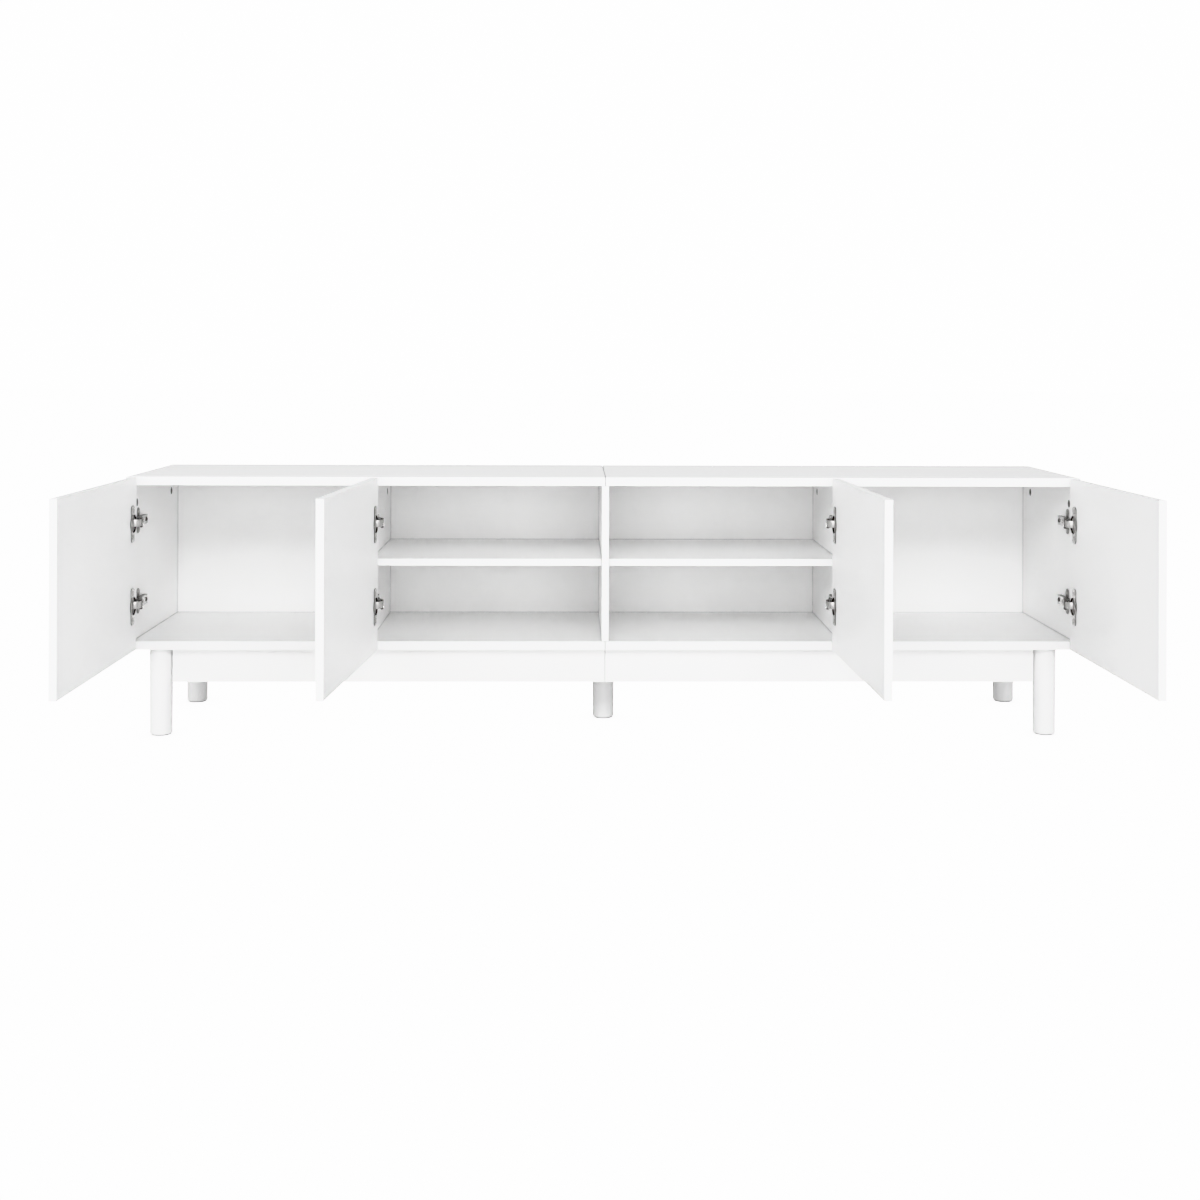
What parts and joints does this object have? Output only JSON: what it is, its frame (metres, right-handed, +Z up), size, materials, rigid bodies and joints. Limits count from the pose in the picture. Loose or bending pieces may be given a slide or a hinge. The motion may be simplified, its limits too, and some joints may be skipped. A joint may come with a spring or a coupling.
{
  "type": "tv stand with doors",
  "caption": "Long low white cabinet on round legs, with open compartments, mid-height shelves and flat doors on concealed hinges.",
  "frame": {"origin": "on the floor under the middle of the cabinet, at the centre of the middle leg's foot", "axes": "+X to the right seen from the front, +Y to the rear, +Z up; the doors are at -Y"},
  "size_m": [1.8, 0.8042, 0.49],
  "materials": {
    "white_board": "satin white melamine-faced board, with matching edge band",
    "back_sheet": "thin white-faced fibreboard",
    "leg_paint": "satin white paint on turned wood",
    "hinge_steel": "nickel-plated pressed steel"
  },
  "bodies": {
    "carcass": {"top_panel_left": "white_board", "top_panel_right": "white_board", "bottom_panel_left": "white_board", "bottom_panel_right": "white_board", "side_panel_left": "white_board", "side_panel_right": "white_board", "divider_left": "white_board", "divider_centre": "white_board", "divider_right": "white_board", "shelf_left": "white_board", "shelf_right": "white_board", "back_panel_left": "back_sheet", "back_panel_right": "back_sheet", "apron_left": "white_board", "apron_right": "white_board", "leg_front_left": "leg_paint", "leg_front_right": "leg_paint", "leg_rear_left": "leg_paint", "leg_rear_right": "leg_paint", "leg_centre": "leg_paint", "hinge_plate_outer_left_upper": "hinge_steel", "hinge_arm_outer_left_upper": "hinge_steel", "hinge_plate_outer_left_lower": "hinge_steel", "hinge_arm_outer_left_lower": "hinge_steel", "hinge_plate_inner_left_upper": "hinge_steel", "hinge_arm_inner_left_upper": "hinge_steel", "hinge_plate_inner_left_lower": "hinge_steel", "hinge_arm_inner_left_lower": "hinge_steel", "hinge_plate_inner_right_upper": "hinge_steel", "hinge_arm_inner_right_upper": "hinge_steel", "hinge_plate_inner_right_lower": "hinge_steel", "hinge_arm_inner_right_lower": "hinge_steel", "hinge_plate_outer_right_upper": "hinge_steel", "hinge_arm_outer_right_upper": "hinge_steel", "hinge_plate_outer_right_lower": "hinge_steel", "hinge_arm_outer_right_lower": "hinge_steel"},
    "door_outer_left": {"door_outer_left": "white_board", "hinge_cup_outer_left_upper": "hinge_steel", "hinge_cup_outer_left_lower": "hinge_steel"},
    "links_outer_left": {"hinge_link_outer_left_upper": "hinge_steel", "hinge_link_outer_left_lower": "hinge_steel"},
    "door_inner_left": {"door_inner_left": "white_board", "hinge_cup_inner_left_upper": "hinge_steel", "hinge_cup_inner_left_lower": "hinge_steel"},
    "links_inner_left": {"hinge_link_inner_left_upper": "hinge_steel", "hinge_link_inner_left_lower": "hinge_steel"},
    "door_inner_right": {"door_inner_right": "white_board", "hinge_cup_inner_right_upper": "hinge_steel", "hinge_cup_inner_right_lower": "hinge_steel"},
    "links_inner_right": {"hinge_link_inner_right_upper": "hinge_steel", "hinge_link_inner_right_lower": "hinge_steel"},
    "door_outer_right": {"door_outer_right": "white_board", "hinge_cup_outer_right_upper": "hinge_steel", "hinge_cup_outer_right_lower": "hinge_steel"},
    "links_outer_right": {"hinge_link_outer_right_upper": "hinge_steel", "hinge_link_outer_right_lower": "hinge_steel"}
  },
  "joints": [
    {"name": "door_outer_left_swing", "type": "hinge", "parent": "carcass", "child": "door_outer_left", "pos_m": [-0.89, -0.1905, 0.328], "axis": [0, 0, -1], "range_deg": [-90.5, 14.5]},
    {"name": "links_outer_left_swing", "type": "hinge", "parent": "carcass", "child": "links_outer_left", "pos_m": [-0.869, -0.1815, 0.328], "axis": [0, 0, -1], "range_deg": [-11.15, 64.35]},
    {"name": "door_inner_left_swing", "type": "hinge", "parent": "carcass", "child": "door_inner_left", "pos_m": [-0.44, -0.1905, 0.328], "axis": [0, 0, -1], "range_deg": [-94, 11]},
    {"name": "links_inner_left_swing", "type": "hinge", "parent": "carcass", "child": "links_inner_left", "pos_m": [-0.419, -0.1815, 0.328], "axis": [0, 0, -1], "range_deg": [-8.7, 66.8]},
    {"name": "door_inner_right_swing", "type": "hinge", "parent": "carcass", "child": "door_inner_right", "pos_m": [0.44, -0.1905, 0.328], "axis": [0, 0, 1], "range_deg": [-91.5, 13.5]},
    {"name": "links_inner_right_swing", "type": "hinge", "parent": "carcass", "child": "links_inner_right", "pos_m": [0.419, -0.1815, 0.328], "axis": [0, 0, 1], "range_deg": [-10.45, 65.05]},
    {"name": "door_outer_right_swing", "type": "hinge", "parent": "carcass", "child": "door_outer_right", "pos_m": [0.89, -0.1905, 0.328], "axis": [0, 0, 1], "range_deg": [-90.5, 14.5]},
    {"name": "links_outer_right_swing", "type": "hinge", "parent": "carcass", "child": "links_outer_right", "pos_m": [0.869, -0.1815, 0.328], "axis": [0, 0, 1], "range_deg": [-11.15, 64.35]}
  ],
  "couplings": [
    {"joint": "links_outer_left_swing", "follows": "door_outer_left_swing", "ratio": -0.7},
    {"joint": "links_inner_left_swing", "follows": "door_inner_left_swing", "ratio": -0.7},
    {"joint": "links_inner_right_swing", "follows": "door_inner_right_swing", "ratio": -0.7},
    {"joint": "links_outer_right_swing", "follows": "door_outer_right_swing", "ratio": -0.7}
  ]
}
